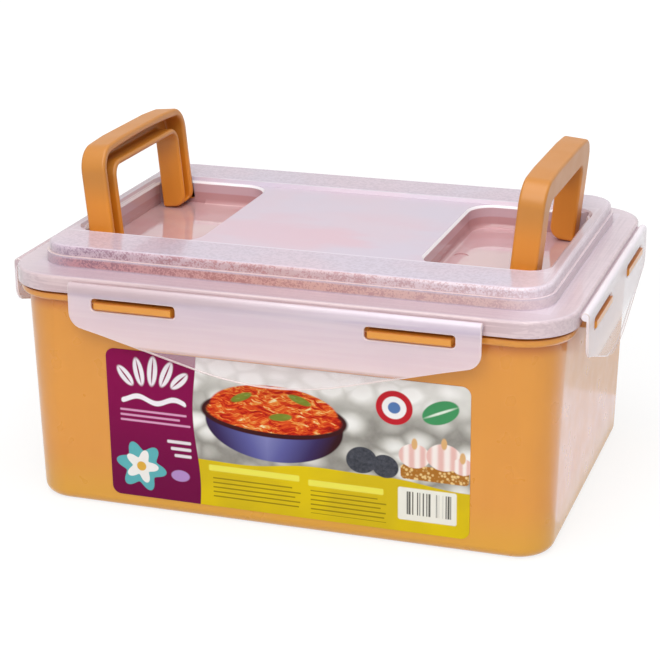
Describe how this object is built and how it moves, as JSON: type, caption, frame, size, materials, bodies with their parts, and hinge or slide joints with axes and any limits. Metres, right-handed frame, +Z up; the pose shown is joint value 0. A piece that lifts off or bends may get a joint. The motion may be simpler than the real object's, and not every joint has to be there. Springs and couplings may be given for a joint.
{
  "type": "kimchi container",
  "caption": "Rectangular food tub with a stepped translucent lid, slotted locking flaps over moulded lugs, fold-down channel handles in recesses and an inner press plate.",
  "frame": {"origin": "middle of the base, on the ground", "axes": "+Z up, +X along the long side to the right of the label, -Y out through the label side"},
  "size_m": [0.3246, 0.2394, 0.1934],
  "materials": {
    "tub": "smooth moulded ochre plastic",
    "lid": "milky translucent plastic",
    "flap": "milky translucent plastic",
    "handle": "smooth moulded ochre plastic",
    "gasket": "soft white",
    "press_plate": "milky plastic",
    "vent_plug": "soft ochre",
    "label": "printed film"
  },
  "bodies": {
    "container": {"tub": "tub", "lid": "lid", "gasket": "gasket", "press_plate": "press_plate", "vent_plug": "vent_plug", "label": "label"},
    "front_flap": {"flap_front": "flap"},
    "back_flap": {"flap_back": "flap"},
    "left_flap": {"flap_left": "flap"},
    "right_flap": {"flap_right": "flap"},
    "left_handle": {"handle_left": "handle"},
    "right_handle": {"handle_right": "handle"}
  },
  "joints": [
    {"name": "front_flap_hinge", "type": "hinge", "parent": "container", "child": "front_flap", "pos_m": [0, -0.1165, 0.1311], "axis": [-1, 0, 0], "range_deg": [0, 175]},
    {"name": "back_flap_hinge", "type": "hinge", "parent": "container", "child": "back_flap", "pos_m": [0, 0.1165, 0.1311], "axis": [1, 0, 0], "range_deg": [0, 175]},
    {"name": "left_flap_hinge", "type": "hinge", "parent": "container", "child": "left_flap", "pos_m": [-0.1591, 0, 0.1311], "axis": [0, 1, 0], "range_deg": [0, 175]},
    {"name": "right_flap_hinge", "type": "hinge", "parent": "container", "child": "right_flap", "pos_m": [0.1591, 0, 0.1311], "axis": [0, -1, 0], "range_deg": [0, 175]},
    {"name": "left_handle_pivot", "type": "hinge", "parent": "container", "child": "left_handle", "pos_m": [-0.1199, 0, 0.1393], "axis": [0, 1, 0], "range_deg": [0, 95.5]},
    {"name": "right_handle_pivot", "type": "hinge", "parent": "container", "child": "right_handle", "pos_m": [0.1199, 0, 0.1393], "axis": [0, -1, 0], "range_deg": [0, 95.5]}
  ]
}
